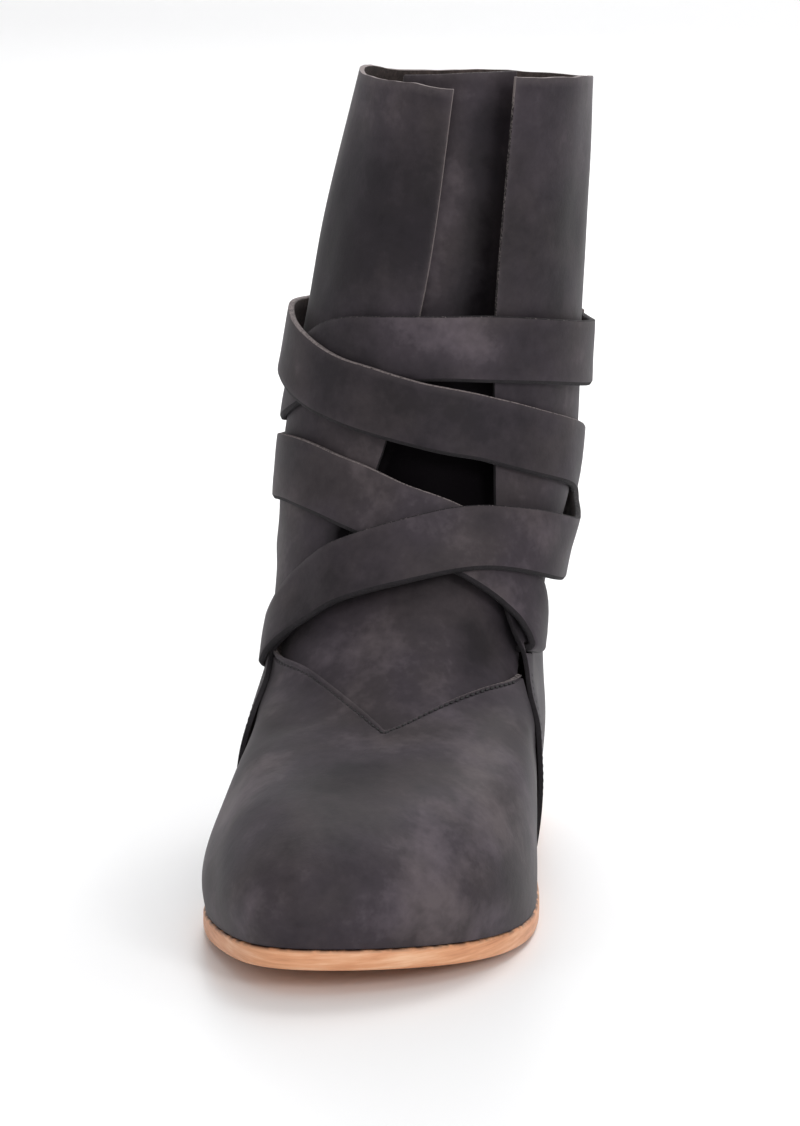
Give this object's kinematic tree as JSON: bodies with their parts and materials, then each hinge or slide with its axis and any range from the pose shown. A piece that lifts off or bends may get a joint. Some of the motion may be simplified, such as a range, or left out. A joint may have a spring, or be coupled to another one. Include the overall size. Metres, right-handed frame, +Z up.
{
  "type": "viking boot",
  "caption": "Mid-shaft folk boot of soft leather with a V-edged vamp, wrap-round quarters, a tongue, two wound straps and a flat leather sole.",
  "frame": {"origin": "on the floor under the middle of the heel, on the heel's flat underside", "axes": "+Z up, the toe points to -Y, +X is the outer (lateral) side of this left boot"},
  "size_m": [0.1023, 0.2681, 0.2496],
  "materials": {
    "outsole": "natural veg-tan, matte grain with a cut edge",
    "insole": "plain flesh side",
    "upper": "matte oiled nubuck",
    "tongue": "matte oiled nubuck",
    "strap_a": "matte oiled nubuck",
    "strap_b": "matte oiled nubuck"
  },
  "bodies": {
    "root": {"outsole": "outsole", "insole": "insole", "upper": "upper", "tongue": "tongue", "strap_a": "strap_a", "strap_b": "strap_b"}
  },
  "joints": []
}
